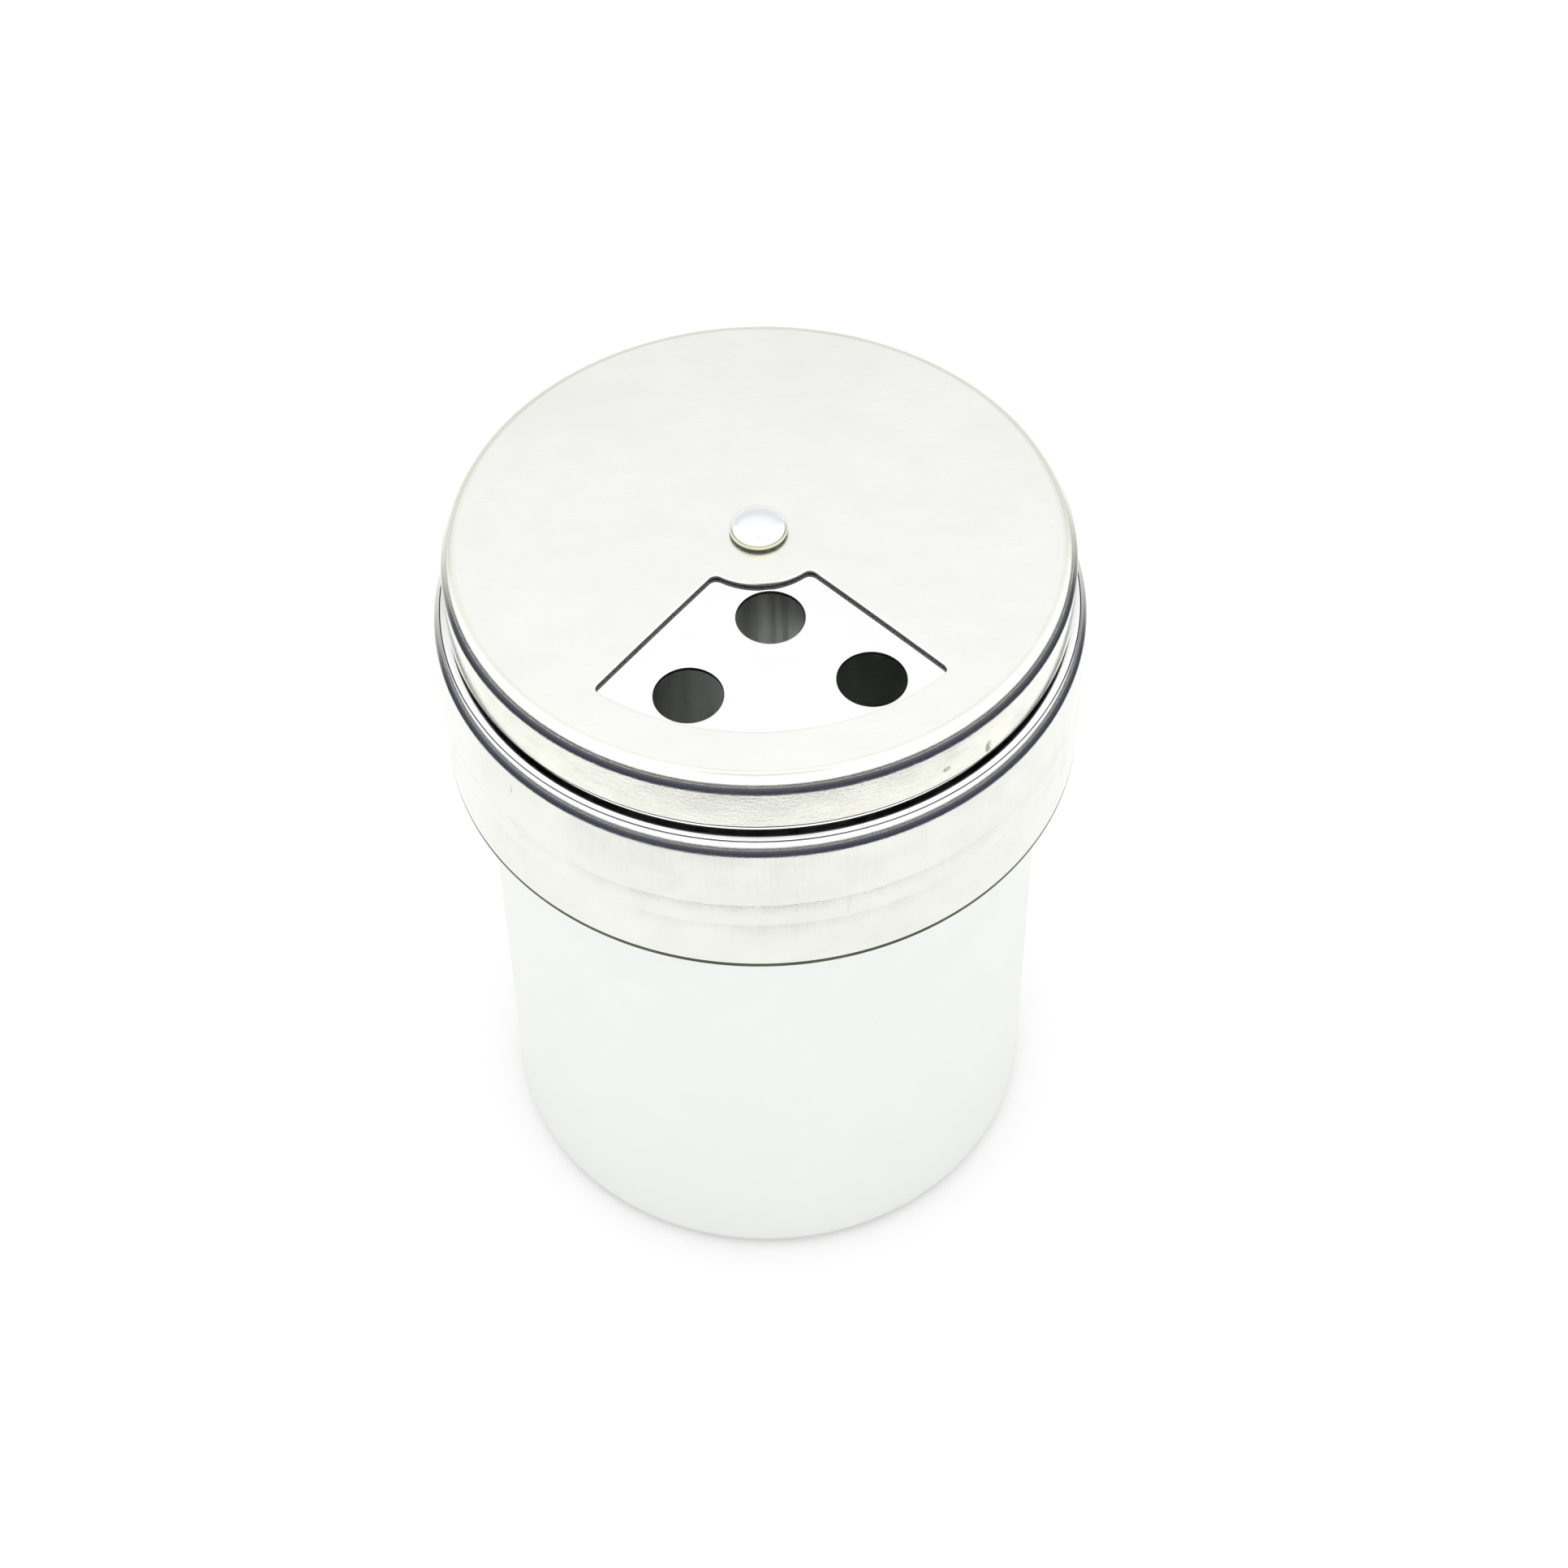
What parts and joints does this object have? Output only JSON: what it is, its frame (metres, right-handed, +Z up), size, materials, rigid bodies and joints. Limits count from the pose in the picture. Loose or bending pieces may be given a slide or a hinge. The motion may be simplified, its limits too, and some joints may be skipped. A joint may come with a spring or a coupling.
{
  "type": "spice shaker jar",
  "caption": "Round stainless steel spice shaker: drawn jar, screw lid with a perforated plate, and a riveted turning dial with a sector window.",
  "frame": {"origin": "centre of the foot ring, in the plane that the jar stands on", "axes": "+Z up along the jar's axis, through the rivet; the dial's window faces -Y at rest; +X to the right as seen from the window side"},
  "size_m": [0.063, 0.063, 0.0839],
  "materials": {
    "jar_steel": "fine horizontal brushing, satin",
    "collar_steel": "fine vertical brushing, satin",
    "plate_steel": "smooth mill finish",
    "dial_steel": "fine straight brushing across the top, satin",
    "rivet_steel": "smooth, slightly bluish",
    "washer_steel": "plain stamped steel"
  },
  "bodies": {
    "jar_body": {"jar": "jar_steel"},
    "rivet_body": {"rivet": "rivet_steel", "rivet_washer": "washer_steel"},
    "lid_body": {"screw_collar": "collar_steel", "shaker_plate": "plate_steel"},
    "dial_body": {"dial": "dial_steel"}
  },
  "joints": [
    {"name": "lid_lift", "type": "slide", "parent": "jar_body", "child": "rivet_body", "axis": [0, 0, 1], "range_m": [0, 0.0196]},
    {"name": "lid_turn", "type": "hinge", "parent": "rivet_body", "child": "lid_body", "pos_m": [0, 0, 0.074], "axis": [0, 0, 1], "range_deg": [0, 2340]},
    {"name": "dial_turn", "type": "hinge", "parent": "lid_body", "child": "dial_body", "pos_m": [0, 0, 0.082], "axis": [0, 0, 1], "continuous": true}
  ],
  "couplings": [
    {"joint": "lid_lift", "follows": "lid_turn", "m_per_rad": 0.00047746}
  ]
}
